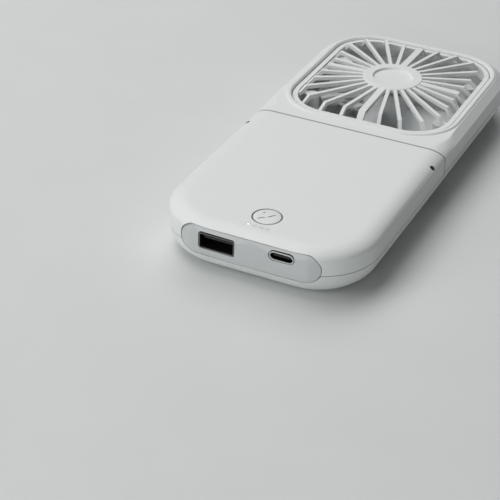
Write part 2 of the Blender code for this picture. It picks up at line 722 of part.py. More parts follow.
def head_front_shell(finish, parent):
    """The fan frame. Beside the seam it has the base's shoulders; they run out into a plain chamfer."""
    edge_z = THICKNESS - CHAMFER_DROP
    rings = [head_ring(0, 0, FRONT_RIM_Z)]
    levels = shoulder(EDGE_STEPS)
    for step, (share, z) in enumerate(levels):
        round_ring = head_ring(share * SHOULDER_IN, share * SHOULDER_IN, z)
        along = max(0, step - 1) / (len(levels) - 2)
        height = edge_z + along * (THICKNESS - edge_z) if step else z
        flat_ring = head_ring(along * CHAMFER_IN, along * CHAMFER_IN, height)
        blended = []
        for near, far in zip(round_ring, flat_ring):
            weight = smooth_share((far[1] - ROOT_STRIP) / ROOT_BLEND)
            blended.append(tuple(a + weight * (b - a) for a, b in zip(near, far)))
        rings.append(blended)
    crest = THICKNESS + BEAD_HEIGHT
    slope = BEAD_WIDTH / 4
    seat_z = THICKNESS - GRILLE_SEAT_DEPTH
    frame_z = THICKNESS - FRAME_DEPTH
    seat = BEAD_WIDTH + GRILLE_SEAT_WIDTH
    rings.append(opening_ring(0, THICKNESS))
    rings.append(opening_ring(slope, crest))
    rings.append(opening_ring(BEAD_WIDTH - slope, crest))
    rings.append(opening_ring(BEAD_WIDTH, THICKNESS))
    rings.append(opening_ring(BEAD_WIDTH, seat_z))
    rings.append(opening_ring(seat, seat_z))
    rings.append(opening_ring(seat, frame_z))
    inner_seam = HEAD_SEAM_Y + WALL
    rings.append(head_ring(WALL, WALL, frame_z, inner_seam))
    rings.append(head_ring(WALL, WALL, FRONT_RIM_Z, inner_seam))
    shell = solid("head_front_shell", loft(rings, closed=True), finish, parent=parent)
    ledge = hinge_ledge("head hinge ledge", HEAD_SEAM_Y + WALL / 2, HINGE_LEDGE)
    fuse(shell, ledge)
    return shell


def boss_arm(name, x, y, top, parent):
    """Ties a screw boss in the opening to the frame beside it."""
    reach = math.copysign(BEAD_HALF_X - BEAD_WIDTH, x)
    low = (min(x, reach), y - BOSS_WALL, THICKNESS - FRAME_DEPTH + FIT_GAP)
    return tool(name, box(low, (max(x, reach), y + BOSS_WALL, top)), parent=parent)


def rim_distance(angle, half_x, half_y, corner):
    """From the fan's axis out to a rounded rectangle, in one direction."""
    across, along = abs(math.cos(angle)), abs(math.sin(angle))
    straight = min(half_x / max(across, 1e-9), half_y / max(along, 1e-9))
    centre_x, centre_y = half_x - corner, half_y - corner
    if straight * across <= centre_x or straight * along <= centre_y:
        return straight
    toward = centre_x * across + centre_y * along
    return toward + math.sqrt(toward * toward - centre_x**2 - centre_y**2 + corner**2)


def grille_rib(angle, width):
    """One rib: it slopes gently from the hub, then bends down to the rim."""
    inset = BEAD_WIDTH + FIT_GAP + GRILLE_RIM_WIDTH
    half_x = BEAD_HALF_X - inset
    half_y = BEAD_HALF_Y - inset
    foot = rim_distance(angle, half_x, half_y, BEAD_CORNER - inset)
    top = THICKNESS + GRILLE_RISE
    start, kink, end = GRILLE_HUB_RADIUS - RIB_ROOT_OVERLAP, foot - RIB_KINK_IN, foot + GRILLE_RIM_WIDTH / 2
    foot_z = THICKNESS - GRILLE_RIM_DROP - RIB_FOOT_DROP
    floor = THICKNESS - GRILLE_SEAT_DEPTH + 2 * FIT_GAP
    upper = [(start, top - RIB_ROOT_DROP), (kink, top - RIB_KINK_DROP), (foot, foot_z), (end, foot_z)]
    lower = [
        (end, floor),
        (foot - RIB_THICKNESS / 2, floor),
        (kink - RIB_THICKNESS / 2, top - RIB_KINK_DROP - RIB_THICKNESS),
        (start, top - RIB_ROOT_DROP - RIB_THICKNESS),
    ]
    rings = []
    for side in (-width / 2, width / 2):
        points = []
        for radius, z in upper + lower:
            x = radius * math.cos(angle) - side * math.sin(angle)
            y = radius * math.sin(angle) + side * math.cos(angle)
            points.append((x, y, z))
        rings.append(points)
    return loft(rings)


def front_grille(finish, parent):
    """A rim in the frame's seat, a raised hub with a shallow dish, and the ribs between them."""
    top = THICKNESS - GRILLE_RIM_DROP
    floor = THICKNESS - GRILLE_SEAT_DEPTH + FIT_GAP
    outer, inner = BEAD_WIDTH + FIT_GAP, BEAD_WIDTH + FIT_GAP + GRILLE_RIM_WIDTH
    edge = GROOVE_CHAMFER
    rings = [opening_ring(outer, floor), opening_ring(outer, top - edge), opening_ring(outer + edge, top)]
    rings += [opening_ring(inner, top), opening_ring(inner, floor)]
    centre = (0, FAN_Y, 0)
    grille = solid("front_grille", loft(rings, closed=True), finish, parent=parent)
    hub_top = THICKNESS + GRILLE_RISE
    hub_low = hub_top - GRILLE_HUB_THICKNESS
    edge = RIB_THICKNESS / 4
    levels = [
        (GRILLE_HUB_RADIUS - edge, hub_low),
        (GRILLE_HUB_RADIUS, hub_low + edge),
        (GRILLE_HUB_RADIUS, hub_top - edge),
        (GRILLE_HUB_RADIUS - edge, hub_top),
        (GRILLE_DISH_RADIUS, hub_top),
        (GRILLE_DISH_RADIUS - edge, hub_top - GRILLE_DISH_DEPTH),
    ]
    for number in range(RIB_COUNT):
        angle = -QUARTER + math.tau * number / RIB_COUNT
        width = RIB_WIDTH if number % WIDE_RIB_EVERY else WIDE_RIB_WIDTH
        fuse(grille, tool(f"grille rib {number + 1}", grille_rib(angle, width), centre, parent))
    fuse(grille, tool("grille hub", tapered(levels, 2 * ROUND_STEPS), centre, parent))


def annular_slot(inner, outer, middle, half_gap, steps):
    """One air slot between two radii, with sides parallel to the bars beside it."""
    points = []
    for radius, order in ((outer, 1), (inner, -1)):
        spread = math.pi / SLOT_COUNT - half_gap / radius
        for step in range(steps + 1):
            angle = middle + order * spread * (2 * step / steps - 1)
            points.append((radius * math.cos(angle), radius * math.sin(angle)))
    return points


def air_slots(parent):
    """All the rear air slots as one cutter: two circles of them round the motor seat."""
    whole = bmesh.new()
    middle_radius = (SLOT_INNER_RADIUS + SLOT_OUTER_RADIUS) / 2
    half_ring = SLOT_RING_WIDTH / 2
    bands = ((SLOT_INNER_RADIUS, middle_radius - half_ring, 2), (middle_radius + half_ring, SLOT_OUTER_RADIUS, 3))
    for inner, outer, steps in bands:
        for number in range(SLOT_COUNT):
            middle = math.tau * number / SLOT_COUNT
            points = annular_slot(inner, outer, middle, SLOT_BAR_WIDTH / 2, steps)
            piece = prism(points, -OVERRUN, WALL + OVERRUN)
            mesh = bpy.data.meshes.new("slot")
            piece.to_mesh(mesh)
            piece.free()
            whole.from_mesh(mesh)
            bpy.data.meshes.remove(mesh)
    return tool("air slots", whole, (0, FAN_Y, 0), parent)


def head_rear_shell(finish, parent):
    """The dish behind the fan: round rear edge, duct, motor cup, air slots and the middle knuckle."""
    outer = [head_ring(inset, inset, z) for inset, z in rear_edge(EDGE_STEPS)]
    inner = []
    for inset, z in rear_edge(EDGE_STEPS):
        height = WALL + z * (REAR_EDGE_HEIGHT - WALL) / REAR_EDGE_HEIGHT
        inner.append(head_ring(inset + WALL, inset + WALL, height, HINGE_REACH + WALL))
    shell = solid("head_rear_shell", loft(outer + inner[::-1]), finish, parent=parent)
    centre = (0, FAN_Y, 0)
    duct_outer = DUCT_RADIUS + DUCT_WALL
    duct = [(DUCT_RADIUS, WALL / 2), (duct_outer, WALL / 2), (duct_outer, REAR_EDGE_HEIGHT), (DUCT_RADIUS, REAR_EDGE_HEIGHT)]
    cup_inner = MOTOR_RADIUS + FIT_GAP
    cup_outer = cup_inner + DUCT_WALL
    cup_top = WALL + MOTOR_CUP_HEIGHT
    cup = [(cup_inner, WALL / 2), (cup_outer, WALL / 2), (cup_outer, cup_top), (cup_inner, cup_top)]
    fuse(shell, tool("duct", turned(duct, 2 * ROUND_STEPS), centre, parent))
    fuse(shell, tool("motor cup", turned(cup), centre, parent))
    cut(shell, hinge_recess("head hinge recess", -OVERRUN, HINGE_REACH))
    cut(shell, air_slots(parent))
    reach = HEAD_KNUCKLE_HALF
    knuckle = tool("head knuckle", prism(knuckle_outline(1), -reach, reach, "X"), parent=parent)
    fuse(shell, knuckle)
    return shell


def hinge_hardware(steel):
    """The pin through all knuckles, and a friction washer at each end of the middle one."""
    solid("hinge_pin", rod(PIN_RADIUS, -KNUCKLE_REACH, KNUCKLE_REACH, "X"), steel, (0, 0, HINGE_Z))
    bore = PIN_RADIUS + FIT_GAP
    inner_face = HEAD_KNUCKLE_HALF + FIT_GAP
    outer_face = inner_face + WASHER_THICKNESS
    for side, word in ((-1, "left"), (1, "right")):
        rings = []
        for radius, x in ((WASHER_RADIUS, inner_face), (WASHER_RADIUS, outer_face), (bore, outer_face), (bore, inner_face)):
            rings.append([(side * x, y, z) for y, z in circle(radius)])
        solid(f"friction_washer_{word}", loft(rings, closed=True), steel, (0, 0, HINGE_Z))


def motor(steel, black, brass, parent):
    """A small motor in its cup: end cap below, can above, and a bush where the shaft leaves it."""
    floor = WALL + FIT_GAP
    cap_top = floor + MOTOR_CAP_HEIGHT
    place = (0, FAN_Y, 0)
    solid("motor_end_cap", rod(MOTOR_RADIUS, floor, cap_top), black, place, parent)
    can_low = cap_top + FIT_GAP
    can_top = can_low + MOTOR_CAN_HEIGHT
    can = solid("motor_can", rod(MOTOR_RADIUS, can_low, can_top), steel, place, parent)
    bore = SHAFT_RADIUS + SHAFT_GAP
    cut(can, tool("can bore", rod(bore, shaft_foot_z() - FIT_GAP, can_top + OVERRUN), place, parent))
    bush_low = can_top + FIT_GAP
    bush_top = bush_low + MOTOR_BUSH_HEIGHT
    radius = MOTOR_BUSH_RADIUS
    bush = [(bore, bush_low), (radius, bush_low), (radius, bush_top), (bore, bush_top)]
    solid("motor_bush", turned(bush), brass, place, parent)


def shaft_foot_z():
    return WALL + MOTOR_CAP_HEIGHT + 2 * FIT_GAP + MOTOR_CAN_HEIGHT - SHAFT_DEPTH


def impeller_top_z():
    hub_underside = THICKNESS + GRILLE_RISE - GRILLE_HUB_THICKNESS
    return hub_underside - IMPELLER_TOP_GAP


def blade(number):
    """One blade, from inside the hub's wall out to the tip, cambered and swept."""
    root_radius = IMPELLER_HUB_RADIUS - IMPELLER_HUB_WALL / 2
    tip_radius = DUCT_RADIUS - IMPELLER_TIP_GAP
    low = WALL + BLADE_FLOOR_GAP
    rings = []
    for station in range(BLADE_STATIONS):
        out = station / (BLADE_STATIONS - 1)
        radius = root_radius + out * (tip_radius - root_radius)
        turn = BLADE_ROOT_TURN + out * (BLADE_TIP_TURN - BLADE_ROOT_TURN)
        first = BLADE_REST_TURN + math.tau * number / BLADE_COUNT + BLADE_SWEEP * out
        upper, lower = [], []
        for point in range(BLADE_CHORD_POINTS):
            share = point / (BLADE_CHORD_POINTS - 1)
            angle = first + turn * share
            bulge = BLADE_CAMBER * 4 * share * (1 - share)
            z = low + BLADE_HEIGHT * share + bulge
            across, along = radius * math.cos(angle), radius * math.sin(angle)
            upper.append((across, along, z + BLADE_THICKNESS))
            lower.append((across, along, z))
        rings.append(upper + lower[::-1])
    return loft(rings)


def impeller(finish, steel, parent):
    """A cupped hub over the motor with a boss on the shaft, and the blades round it."""
    place = (0, FAN_Y, 0)
    top = impeller_top_z()
    low = WALL + BLADE_FLOOR_GAP
    under = top - IMPELLER_HUB_WALL
    outer, inner = IMPELLER_HUB_RADIUS, IMPELLER_HUB_RADIUS - IMPELLER_HUB_WALL
    bore = SHAFT_RADIUS + SHAFT_GAP
    bush_top = WALL + MOTOR_CAP_HEIGHT + MOTOR_CAN_HEIGHT + MOTOR_BUSH_HEIGHT + 3 * FIT_GAP
    boss_low = bush_top + 2 * FIT_GAP
    round_off = IMPELLER_HUB_WALL / 2
    profile = [
        (bore, boss_low),
        (IMPELLER_BOSS_RADIUS, boss_low),
        (IMPELLER_BOSS_RADIUS, under),
        (inner, under),
        (inner, low),
        (outer, low),
        (outer, top - round_off),
        (outer - round_off, top),
        (bore, top),
    ]
    rotor = solid("impeller", turned(profile, 2 * ROUND_STEPS), finish, place, parent)
    for number in range(BLADE_COUNT):
        fuse(rotor, tool(f"blade {number + 1}", blade(number), place, parent))
    shaft = rod(SHAFT_RADIUS, shaft_foot_z(), top - FIT_GAP, steps=ROUND_STEPS // 2)
    solid("motor_shaft", shaft, steel, place, parent)


def build():
    clear_scene()
    white = material("white case plastic", (0.80, 0.80, 0.79), 0.55)
    plate_grey = material("port plate plastic", (0.74, 0.75, 0.76), 0.5)
    steel = material("bright steel", (0.62, 0.62, 0.63), 0.3, 1.0)
    black = material("black insulator", (0.02, 0.02, 0.022), 0.5)
    green = material("board green", (0.02, 0.16, 0.07), 0.45)
    silver = material("pouch foil", (0.66, 0.67, 0.69), 0.4, 0.6)
    clear = material("clear guide", (0.86, 0.87, 0.88), 0.25)
    yellow = material("lamp lens", (0.85, 0.78, 0.40), 0.3)
    brass = material("bush brass", (0.72, 0.55, 0.28), 0.35, 1.0)

    fold_axis = empty_at("fold axis", (0, 0, HINGE_Z))
    fan_axis = empty_at("fan axis", (0, FAN_Y, HINGE_Z), fold_axis)
    button_axis = empty_at("button axis", (0, BUTTON_Y, THICKNESS))

    base_front = base_front_shell(white)
    base_rear = base_rear_shell(white)
    bore = pin_bore("pin bore", KNUCKLE_REACH + FIT_GAP / 2)
    cut(base_rear, bore)
    window = port_window()
    cut(base_front, window)
    cut(base_rear, window)
    hole = rod(BUTTON_RADIUS + FIT_GAP, INNER_TOP_Z - OVERRUN, THICKNESS + OVERRUN)
    cut(base_front, tool("button hole", hole, (0, BUTTON_Y, 0)))
    for number, x in enumerate(light_places(), 1):
        drill = rod(LIGHT_RADIUS + FIT_GAP / 2, INNER_TOP_Z - OVERRUN / 4, THICKNESS + OVERRUN, steps=ROUND_STEPS // 2)
        cut(base_front, tool(f"light hole {number}", drill, (x, LIGHT_Y, 0)))
    for side, word in ((-1, "left"), (1, "right")):
        cut(base_front, cord_hole(f"cord hole {word}", side))
    for number, (x, y) in enumerate(board_post_places(), 1):
        post = rod(BOARD_POST_RADIUS, BOARD_TOP_Z + FIT_GAP, THICKNESS - WALL / 2, steps=ROUND_STEPS // 2)
        fuse(base_front, tool(f"board post {number}", post, (x, y, 0)))
    near_y = BASE_SCREW_FROM_END - BASE_LENGTH
    far_y = -HINGE_REACH - BASE_SCREW_FROM_HINGE
    base_screws = [(-BASE_SCREW_X, near_y), (BASE_SCREW_X, near_y), (-BASE_SCREW_X, far_y), (BASE_SCREW_X, far_y)]
    shell_bosses("base", base_front, base_rear, base_screws, THICKNESS - WALL / 2, None, steel)

    port_plate(plate_grey)
    usb_a_socket(steel, black)
    usb_c_socket(steel, black)
    circuit_board(green)
    switch_and_button(steel, black, white, button_axis)
    charge_lights(clear, yellow)
    battery(silver)
    hinge_hardware(steel)

    head_front = head_front_shell(white, fold_axis)
    head_rear = head_rear_shell(white, fold_axis)
    cut(head_rear, bore)
    head_screws = [
        (across * HEAD_SCREW_X, FAN_Y + along * HEAD_SCREW_FROM_FAN) for along in (-1, 1) for across in (-1, 1)
    ]
    arm_top = THICKNESS - GRILLE_SEAT_DEPTH - FIT_GAP
    shell_bosses("head", head_front, head_rear, head_screws, arm_top, fold_axis, steel)
    for number, (x, y) in enumerate(head_screws, 1):
        fuse(head_front, boss_arm(f"head boss arm {number}", x, y, arm_top, fold_axis))
    front_grille(white, fold_axis)
    motor(steel, black, brass, fold_axis)
    impeller(white, steel, fan_axis)


build()
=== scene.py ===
import math

import bmesh
import bpy
from mathutils import Matrix, Vector


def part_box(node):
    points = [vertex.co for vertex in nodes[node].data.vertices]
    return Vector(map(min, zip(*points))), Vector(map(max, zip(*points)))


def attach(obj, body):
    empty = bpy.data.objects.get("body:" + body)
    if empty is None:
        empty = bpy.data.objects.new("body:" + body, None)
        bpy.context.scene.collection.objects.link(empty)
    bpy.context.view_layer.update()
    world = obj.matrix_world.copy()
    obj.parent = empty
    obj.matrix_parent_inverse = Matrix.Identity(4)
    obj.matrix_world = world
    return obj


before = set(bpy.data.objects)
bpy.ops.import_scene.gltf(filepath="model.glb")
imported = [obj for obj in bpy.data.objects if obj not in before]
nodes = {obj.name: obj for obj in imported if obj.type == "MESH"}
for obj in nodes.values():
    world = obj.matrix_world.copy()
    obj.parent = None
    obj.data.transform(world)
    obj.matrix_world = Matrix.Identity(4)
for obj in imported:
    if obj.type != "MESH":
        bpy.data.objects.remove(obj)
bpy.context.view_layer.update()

MM = 0.001


# The base housings are two trays of white ABS with a fine matt grain from the spark-eroded tool.
# They meet on a split line round the sides, and screws from below draw them together. Painted shade
# greys the joint before the head and the two cord holes, drilled aslant through the shoulders.
def new_finish(name):
    """A new material, its node tree and its main shader."""
    finish = bpy.data.materials.new(name)
    finish.use_nodes = True
    return finish, finish.node_tree, finish.node_tree.nodes["Principled BSDF"]


def noise(tree, size, detail, stretch=(1, 1, 1)):
    """Soft noise with patches of one size, fixed to the piece and drawn out along its axes."""
    place = tree.nodes.new("ShaderNodeTexCoord")
    scale = tree.nodes.new("ShaderNodeMapping")
    scale.inputs["Scale"].default_value = [1 / (size * along) for along in stretch]
    pattern = tree.nodes.new("ShaderNodeTexNoise")
    pattern.inputs["Scale"].default_value = 1
    pattern.inputs["Detail"].default_value = detail
    tree.links.new(place.outputs["Object"], scale.inputs["Vector"])
    tree.links.new(scale.outputs["Vector"], pattern.inputs["Vector"])
    return pattern.outputs["Fac"]


PATTERN_LOW, PATTERN_HIGH = 0.3, 0.7


def vary(tree, pattern, socket, low, high):
    """Drives a shader socket between two values with a pattern."""
    span = tree.nodes.new("ShaderNodeMapRange")
    span.inputs["From Min"].default_value, span.inputs["From Max"].default_value = PATTERN_LOW, PATTERN_HIGH
    span.inputs["To Min"].default_value, span.inputs["To Max"].default_value = low, high
    tree.links.new(pattern, span.inputs["Value"])
    tree.links.new(span.outputs["Result"], socket)


def tint(tree, pattern, socket, dark, light):
    """Drives a colour socket between two colours with a pattern."""
    ramp = tree.nodes.new("ShaderNodeValToRGB")
    first, last = ramp.color_ramp.elements
    first.position, last.position = PATTERN_LOW, PATTERN_HIGH
    first.color, last.color = (*dark, 1), (*light, 1)
    tree.links.new(pattern, ramp.inputs["Fac"])
    tree.links.new(ramp.outputs["Color"], socket)


GRAIN_STRENGTH = 0.5


def raise_grain(tree, shader, pattern, depth):
    """Turns a pattern into fine relief."""
    bump = tree.nodes.new("ShaderNodeBump")
    bump.inputs["Distance"].default_value = depth
    bump.inputs["Strength"].default_value = GRAIN_STRENGTH
    tree.links.new(pattern, bump.inputs["Height"])
    tree.links.new(bump.outputs["Normal"], shader.inputs["Normal"])


CLOUD_SIZE, CLOUD_SHADE, CLOUD_GLOSS, PLASTIC_IOR = 16 * MM, 0.985, 0.04, 1.5


def moulded(name, colour, roughness, grain_size, grain_depth):
    """Moulded plastic: an even colour with faint clouding, and the tool's grain."""
    finish, tree, shader = new_finish(name)
    shader.inputs["IOR"].default_value = PLASTIC_IOR
    clouds = noise(tree, CLOUD_SIZE, 2)
    tint(tree, clouds, shader.inputs["Base Color"], [CLOUD_SHADE * c for c in colour], colour)
    vary(tree, clouds, shader.inputs["Roughness"], roughness - CLOUD_GLOSS, roughness + CLOUD_GLOSS)
    raise_grain(tree, shader, noise(tree, grain_size, 3), grain_depth)
    return finish


SOFT_EDGE, SAME_SPOT, SAME_PLANE = math.radians(35), 0.002 * MM, 0.05 * MM


def smooth_faces(piece):
    """Shades each corner by the faces that meet there at a low angle, the widest surfaces most."""
    mesh = piece.data
    area_of, meeting = {}, {}
    spots = [tuple(round(c / SAME_SPOT) for c in vertex.co) for vertex in mesh.vertices]
    for face in mesh.polygons:
        height = face.normal.dot(face.center)
        plane = (*(round(c, 2) for c in face.normal), round(height / SAME_PLANE))
        area_of[plane] = area_of.get(plane, 0) + face.area
        for corner in face.vertices:
            meeting.setdefault(spots[corner], {})[plane] = face.normal.copy()
    shading = []
    for face in mesh.polygons:
        for corner in face.vertices:
            total = Vector()
            for plane, normal in meeting[spots[corner]].items():
                if normal.dot(face.normal) > math.cos(SOFT_EDGE):
                    total += area_of[plane] * normal
            shading.append(total.normalized())
    mesh.shade_smooth()
    mesh.normals_split_custom_set(shading)


def dress(finish, *names):
    """Gives CAD nodes their finish and smooth shading."""
    for name in names:
        nodes[name].data.materials.clear()
        nodes[name].data.materials.append(finish)
        smooth_faces(nodes[name])


def position(tree):
    """The piece's own x, y and z as sockets."""
    place = tree.nodes.new("ShaderNodeTexCoord")
    split = tree.nodes.new("ShaderNodeSeparateXYZ")
    tree.links.new(place.outputs["Object"], split.inputs["Vector"])
    return split.outputs


def compute(tree, operation, *values):
    """One arithmetic step on sockets and numbers."""
    step = tree.nodes.new("ShaderNodeMath")
    step.operation = operation
    for place, value in zip(step.inputs, values):
        if isinstance(value, (int, float)):
            place.default_value = value
        else:
            tree.links.new(value, place)
    return step.outputs[0]


def fade(tree, distance, far, near):
    """1 where a distance is down to near, falling to 0 where it is up to far."""
    span = tree.nodes.new("ShaderNodeMapRange")
    span.inputs["From Min"].default_value, span.inputs["From Max"].default_value = far, near
    tree.links.new(distance, span.inputs["Value"])
    return span.outputs["Result"]


def hypotenuse(tree, first, second):
    """The length of two parts at right angles."""
    squares = [compute(tree, "MULTIPLY", part, part) for part in (first, second)]
    return compute(tree, "SQRT", compute(tree, "ADD", *squares))


MIX_SHARE, MIX_OLD_COLOUR, MIX_NEW_COLOUR, MIXED_COLOUR = 0, 6, 7, 2


def blend(tree, nearness, colour, socket):
    """Turns what a colour socket holds into another colour where nearness is 1."""
    mix = tree.nodes.new("ShaderNodeMix")
    mix.data_type = "RGBA"
    tree.links.new(nearness, mix.inputs[MIX_SHARE])
    if socket.is_linked:
        tree.links.new(socket.links[0].from_socket, mix.inputs[MIX_OLD_COLOUR])
    else:
        mix.inputs[MIX_OLD_COLOUR].default_value = socket.default_value
    mix.inputs[MIX_NEW_COLOUR].default_value = (*colour, 1)
    tree.links.new(mix.outputs[MIXED_COLOUR], socket)


def paint_shade(finish, nearness, shade):
    """Paints shade into a finish's colour where nearness is 1."""
    colour = finish.node_tree.nodes["Principled BSDF"].inputs["Base Color"]
    blend(finish.node_tree, nearness, shade, colour)


CASE_COLOUR, CASE_ROUGHNESS, CASE_GRAIN, CASE_RELIEF = (0.777, 0.795, 0.787), 0.5, 0.25 * MM, 0.01 * MM
case_white = moulded("case_white", CASE_COLOUR, CASE_ROUGHNESS, CASE_GRAIN, CASE_RELIEF)
front_white = moulded("front_white", CASE_COLOUR, CASE_ROUGHNESS, CASE_GRAIN, CASE_RELIEF)
tree = front_white.node_tree
x, y, z = position(tree)
off_centre = compute(tree, "ABSOLUTE", x)
half_width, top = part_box("base_front_shell")[1].x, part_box("base_front_shell")[1].z

# The joint lies at y = 0, and its painted shade keeps to the lip, the outer skin of the shoulders' ellipse.
SHOULDER_WIDTH, SHOULDER_DROP = 7.0 * MM, 3.3 * MM
JOINT_SHADE_FAR, JOINT_SHADE_NEAR, LIP_INNER, LIP_OUTER = 0.58 * MM, 0.15 * MM, 0.78, 0.90
JOINT_SHADE = (0.32, 0.325, 0.325)
out = compute(tree, "SUBTRACT", off_centre, half_width - SHOULDER_WIDTH)
out = compute(tree, "DIVIDE", compute(tree, "MAXIMUM", out, 0), SHOULDER_WIDTH)
up = compute(tree, "SUBTRACT", z, top - SHOULDER_DROP)
up = compute(tree, "DIVIDE", compute(tree, "MAXIMUM", up, 0), SHOULDER_DROP)
in_joint = fade(tree, compute(tree, "ABSOLUTE", y), JOINT_SHADE_FAR, JOINT_SHADE_NEAR)
at_lip = fade(tree, hypotenuse(tree, out, up), LIP_INNER, LIP_OUTER)
paint_shade(front_white, compute(tree, "MULTIPLY", in_joint, at_lip), JOINT_SHADE)

# A cord hole runs in and down at 45 degrees, so that its width shows along the other diagonal.
# Painted shade darkens the case round its mouth.
HOLE_RADIUS, HOLE_IN, HOLE_BEFORE_JOINT, HOLE_HEIGHT = 0.9 * MM, 1.3 * MM, 10.5 * MM, 17.6 * MM
HOLE_SHADE_FAR, HOLE_SHADE_NEAR, HOLE_SHADE = 1.4 * HOLE_RADIUS, 1.05 * HOLE_RADIUS, (0.11, 0.115, 0.115)
across = compute(tree, "SUBTRACT", off_centre, half_width - HOLE_IN)
above = compute(tree, "SUBTRACT", z, HOLE_HEIGHT)
off_slope = compute(tree, "MULTIPLY", compute(tree, "SUBTRACT", across, above), math.sqrt(0.5))
off_hole = hypotenuse(tree, compute(tree, "ADD", y, HOLE_BEFORE_JOINT), off_slope)
paint_shade(front_white, fade(tree, off_hole, HOLE_SHADE_FAR, HOLE_SHADE_NEAR), HOLE_SHADE)
dress(front_white, "base_front_shell")
dress(case_white, "base_rear_shell")


# The case screws are zinc-plated pan heads with a cross recess, sunk in the holes of the rear shells.
# Each recess is two crossed thin dark slabs on the head, painted shade that stands in for its hollow.
MARK_SHADE, MARK_SMOOTHER, MARK_ROUGHER = 0.94, 0.06, 0.08


def metal(name, colour, roughness, grain_size, stretch=(1, 1, 1)):
    """Bare or plated metal, its gloss broken by fine marks along one direction."""
    finish, tree, shader = new_finish(name)
    shader.inputs["Metallic"].default_value = 1
    marks = noise(tree, grain_size, 3, stretch)
    tint(tree, marks, shader.inputs["Base Color"], [MARK_SHADE * c for c in colour], colour)
    vary(tree, marks, shader.inputs["Roughness"], roughness - MARK_SMOOTHER, roughness + MARK_ROUGHER)
    return finish


def new_piece(name, finish, body):
    """An empty mesh piece that rides on a body, and the bmesh to fill it with."""
    piece = bpy.data.objects.new(name, bpy.data.meshes.new(name))
    bpy.context.scene.collection.objects.link(piece)
    piece.data.materials.append(finish)
    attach(piece, body)
    return piece, bmesh.new()


def close_piece(piece, shape, bevel=0):
    """Writes the bmesh into its piece, with its edges rounded by a small bevel."""
    bmesh.ops.recalc_face_normals(shape, faces=shape.faces)
    shape.to_mesh(piece.data)
    shape.free()
    if bevel:
        rounding = piece.modifiers.new("edges", "BEVEL")
        rounding.width, rounding.segments = bevel, 2
    piece.data.shade_smooth()
    piece.data.set_sharp_from_angle(angle=SOFT_EDGE)
    return piece


def add_block(shape, low, high, turn=0):
    """Adds a block between two corners, turned about its own upright axis."""
    low, high = Vector(low), Vector(high)
    middle, size = (low + high) / 2, high - low
    place = Matrix.Translation(middle) @ Matrix.Rotation(turn, 4, "Z") @ Matrix.Diagonal((*size, 1))
    bmesh.ops.create_cube(shape, size=1, matrix=place)


plated_zinc = metal("plated_zinc", (0.66, 0.66, 0.65), 0.3, 0.3 * MM)
# The dark slabs are painted shade for the hollow of the cross recess.
painted_recess_shade = metal("painted_recess_shade", (0.09, 0.09, 0.09), 0.5, 0.3 * MM)
SLOT_LENGTH, SLOT_WIDTH, SLOT_PROUD = 2.3 * MM, 0.5 * MM, 0.02 * MM
TURN_PER_SCREW = 0.6
for half in ("base", "head"):
    for number in range(1, 5):
        screw = f"{half}_screw_{number}"
        dress(plated_zinc, screw)
        low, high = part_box(screw)
        centre = (low + high) / 2
        bottom = Vector((centre.x, centre.y, low.z - SLOT_PROUD))
        recess, shape = new_piece(f"{screw}_recess", painted_recess_shade, half)
        for along, across in ((SLOT_LENGTH, SLOT_WIDTH), (SLOT_WIDTH, SLOT_LENGTH)):
            first = bottom - Vector((along / 2, across / 2, 0))
            last = bottom + Vector((along / 2, across / 2, 2 * SLOT_PROUD))
            add_block(shape, first, last, TURN_PER_SCREW * number)
        close_piece(recess, shape)


# The port plate is a separate small moulding, clipped in from the front, a shade cooler than the
# case and slightly glossier. Painted shade darkens the joint round its left end.
plate_white = moulded("plate_white", (0.56, 0.58, 0.581), 0.42, 0.2 * MM, 0.006 * MM)
PLATE_SHADE_FAR, PLATE_SHADE_NEAR, PLATE_SHADE_LENGTH = 0.6 * MM, 0.15 * MM, 6 * MM
PLATE_SHADE = (0.12, 0.125, 0.125)
tree = plate_white.node_tree
low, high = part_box("port_plate")
end_radius = (high.z - low.z) / 2
place = position(tree)
past_end = compute(tree, "MAXIMUM", compute(tree, "SUBTRACT", low.x + end_radius, place["X"]), 0)
off_middle = compute(tree, "SUBTRACT", place["Z"], (low.z + high.z) / 2)
from_rim = compute(tree, "SUBTRACT", end_radius, hypotenuse(tree, past_end, off_middle))
at_rim = fade(tree, from_rim, PLATE_SHADE_FAR, PLATE_SHADE_NEAR)
at_end = fade(tree, place["X"], low.x + PLATE_SHADE_LENGTH, low.x)
paint_shade(plate_white, compute(tree, "MULTIPLY", at_rim, at_end), PLATE_SHADE)
dress(plate_white, "port_plate")


# The wide socket is a USB-A receptacle: a folded steel shell over a block of black resin, whose
# tongue carries four gold contacts below it. Sprung fingers pressed out of the shell grip the plug.
shell_steel = metal("shell_steel", (0.20, 0.20, 0.20), 0.32, 0.25 * MM, (1, 6, 1))
contact_gold = metal("contact_gold", (0.62, 0.44, 0.19), 0.25, 0.2 * MM, (1, 5, 1))
socket_black = moulded("socket_black", (0.014, 0.014, 0.016), 0.45, 0.2 * MM, 0.005 * MM)
dress(shell_steel, "usb_a_shell")
dress(socket_black, "usb_a_tongue")
SHEET = 0.32 * MM
shell_low, shell_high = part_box("usb_a_shell")
block_low, block_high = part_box("usb_a_tongue")
middle_x = (shell_low.x + shell_high.x) / 2
A_CONTACT_PLACES = (-3.5 * MM, -1.0 * MM, 1.0 * MM, 3.5 * MM)
A_CONTACT_WIDTH, A_CONTACT_LENGTH, A_CONTACT_THICKNESS = 1.0 * MM, 6.4 * MM, 0.12 * MM
A_CONTACT_EDGE, A_TONGUE_BELOW_BLOCK_TOP = 0.04 * MM, 2.14 * MM
contacts, shape = new_piece("usb_a_contacts", contact_gold, "base")
for place in A_CONTACT_PLACES:
    underside = Vector((middle_x + place, block_low.y + SHEET, block_high.z - A_TONGUE_BELOW_BLOCK_TOP))
    low = underside - Vector((A_CONTACT_WIDTH / 2, 0, A_CONTACT_THICKNESS))
    add_block(shape, low, underside + Vector((A_CONTACT_WIDTH / 2, A_CONTACT_LENGTH, 0)))
close_piece(contacts, shape, A_CONTACT_EDGE)

